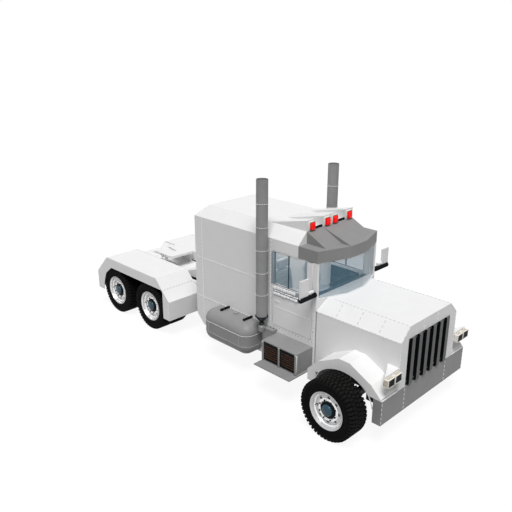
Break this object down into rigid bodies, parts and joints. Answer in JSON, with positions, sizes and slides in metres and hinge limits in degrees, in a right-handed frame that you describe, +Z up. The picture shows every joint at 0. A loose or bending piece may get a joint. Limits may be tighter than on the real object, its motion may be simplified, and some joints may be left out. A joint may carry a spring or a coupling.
{
  "type": "semi truck tractor unit",
  "caption": "Conventional tractor unit with sleeper cab, tilting hood, twin exhaust stacks, side tanks and boxes, tandem rear axles with twin wheels, and a fifth wheel.",
  "frame": {"origin": "on the ground under the middle of the vehicle's length and width", "axes": "+X towards the front, +Y towards the vehicle's left, +Z up"},
  "size_m": [7.67, 3.19, 3.6],
  "materials": {
    "white_paint": "gloss",
    "grey_paint": "satin",
    "grey_metal": "satin",
    "bright_metal": "polished",
    "black_metal": "satin",
    "cast_grey": "rough",
    "tyre": "matte",
    "glass": "gloss",
    "lamp_red": "gloss",
    "lamp_clear": "gloss",
    "interior": "matte",
    "seat_cloth": "woven"
  },
  "bodies": {
    "chassis": {"box_louvres": "black_metal", "cab_shell": "white_paint", "dashboard": "interior", "engine_block": "cast_grey", "exhaust_stacks": "grey_metal", "frame": "grey_paint", "front_axle": "cast_grey", "front_bumper": "grey_metal", "fuel_tanks": "grey_metal", "grab_bars": "black_metal", "mirrors": "white_paint", "radiator": "black_metal", "rear_axles": "cast_grey", "rear_deck": "white_paint", "rear_fenders": "white_paint", "roof_fairings": "white_paint", "roof_header": "grey_paint", "seats": "seat_cloth", "side_boxes": "grey_metal", "signal_lamps": "lamp_red", "sleeper_shell": "white_paint", "stack_bases": "black_metal", "steering_wheel": "interior", "windshield": "glass"},
    "hood": {"hood": "white_paint", "front_fenders": "white_paint", "grille": "grey_metal", "headlights": "lamp_clear"},
    "left_door": {"door_left": "white_paint", "door_glass_left": "glass"},
    "right_door": {"door_right": "white_paint", "door_glass_right": "glass"},
    "left_knuckle": {"knuckle_left": "cast_grey"},
    "right_knuckle": {"knuckle_right": "cast_grey"},
    "coupler": {"fifth_wheel": "cast_grey"},
    "wheel_front_left": {"tyre_front_left": "tyre", "rim_front_left": "bright_metal"},
    "wheel_front_right": {"tyre_front_right": "tyre", "rim_front_right": "bright_metal"},
    "wheel_rear_first_left": {"tyre_rear_first_left": "tyre", "rim_rear_first_left": "bright_metal"},
    "wheel_rear_first_right": {"tyre_rear_first_right": "tyre", "rim_rear_first_right": "bright_metal"},
    "wheel_rear_second_left": {"tyre_rear_second_left": "tyre", "rim_rear_second_left": "bright_metal"},
    "wheel_rear_second_right": {"tyre_rear_second_right": "tyre", "rim_rear_second_right": "bright_metal"}
  },
  "joints": [
    {"name": "hood_tilt", "type": "hinge", "parent": "chassis", "child": "hood", "pos_m": [3.765, 0, 0.808], "axis": [0, 1, 0], "range_deg": [0, 55]},
    {"name": "left_door_hinge", "type": "hinge", "parent": "chassis", "child": "left_door", "pos_m": [2.077, 0.8, 1.2], "axis": [0, 0, -1], "range_deg": [0, 70]},
    {"name": "right_door_hinge", "type": "hinge", "parent": "chassis", "child": "right_door", "pos_m": [2.077, -0.8, 1.2], "axis": [0, 0, 1], "range_deg": [0, 70]},
    {"name": "left_steer", "type": "hinge", "parent": "chassis", "child": "left_knuckle", "pos_m": [3.055, 1.25, 0.5], "axis": [0, 0, 1], "range_deg": [-30, 30]},
    {"name": "right_steer", "type": "hinge", "parent": "chassis", "child": "right_knuckle", "pos_m": [3.055, -1.25, 0.5], "axis": [0, 0, 1], "range_deg": [-30, 30]},
    {"name": "coupler_pitch", "type": "hinge", "parent": "chassis", "child": "coupler", "pos_m": [-2.535, 0, 1.16], "axis": [0, 1, 0], "range_deg": [-12, 12]},
    {"name": "front_left_spin", "type": "hinge", "parent": "left_knuckle", "child": "wheel_front_left", "pos_m": [3.055, 1.4, 0.5], "axis": [0, 1, 0], "continuous": true},
    {"name": "front_right_spin", "type": "hinge", "parent": "right_knuckle", "child": "wheel_front_right", "pos_m": [3.055, -1.4, 0.5], "axis": [0, 1, 0], "continuous": true},
    {"name": "rear_first_left_spin", "type": "hinge", "parent": "chassis", "child": "wheel_rear_first_left", "pos_m": [-1.935, 0.86, 0.5], "axis": [0, 1, 0], "continuous": true},
    {"name": "rear_first_right_spin", "type": "hinge", "parent": "chassis", "child": "wheel_rear_first_right", "pos_m": [-1.935, -0.86, 0.5], "axis": [0, 1, 0], "continuous": true},
    {"name": "rear_second_left_spin", "type": "hinge", "parent": "chassis", "child": "wheel_rear_second_left", "pos_m": [-3.135, 0.86, 0.5], "axis": [0, 1, 0], "continuous": true},
    {"name": "rear_second_right_spin", "type": "hinge", "parent": "chassis", "child": "wheel_rear_second_right", "pos_m": [-3.135, -0.86, 0.5], "axis": [0, 1, 0], "continuous": true}
  ],
  "couplings": [
    {"joint": "right_steer", "follows": "left_steer", "ratio": 1}
  ]
}
